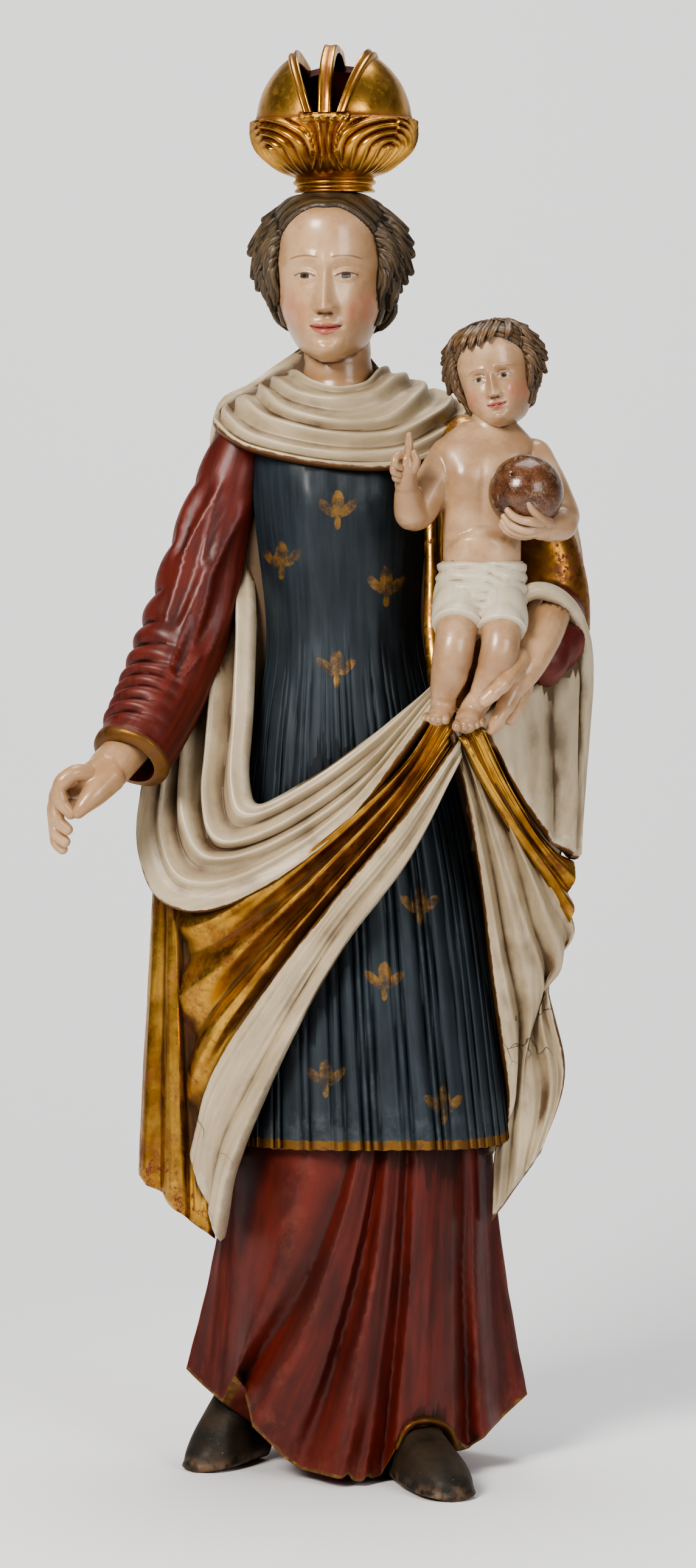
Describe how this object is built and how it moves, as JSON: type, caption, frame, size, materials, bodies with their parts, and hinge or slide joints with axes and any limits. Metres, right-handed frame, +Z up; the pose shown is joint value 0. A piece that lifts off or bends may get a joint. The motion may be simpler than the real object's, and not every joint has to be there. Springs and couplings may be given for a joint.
{
  "type": "carved madonna and child statue",
  "caption": "Standing carved wooden figure of a crowned woman in layered robes, with a seated child who holds an orb on her left arm; painted and gilded, worn and cracked.",
  "frame": {"origin": "on the ground, in the middle of the figure's plan", "axes": "+Z up along the figure; the figure faces -Y; +X to the right of someone who looks at its front"},
  "size_m": [0.4438, 0.263, 1.1727],
  "materials": {
    "painted_gilded_wood": "painted brick red, slate blue and ivory and gilded over red bole, semi-gloss, worn and cracked",
    "gilded_wood": "burnished gilding over red bole, worn on the ridges",
    "flesh_painted_wood": "pale glossy flesh paint with brown patina in the hollows",
    "lacquered_wood": "brown lacquer, glossy, finely crazed"
  },
  "bodies": {
    "root": {"madonna": "painted_gilded_wood", "crown": "gilded_wood", "child": "flesh_painted_wood", "orb": "lacquered_wood", "right_hand": "flesh_painted_wood"}
  },
  "joints": []
}
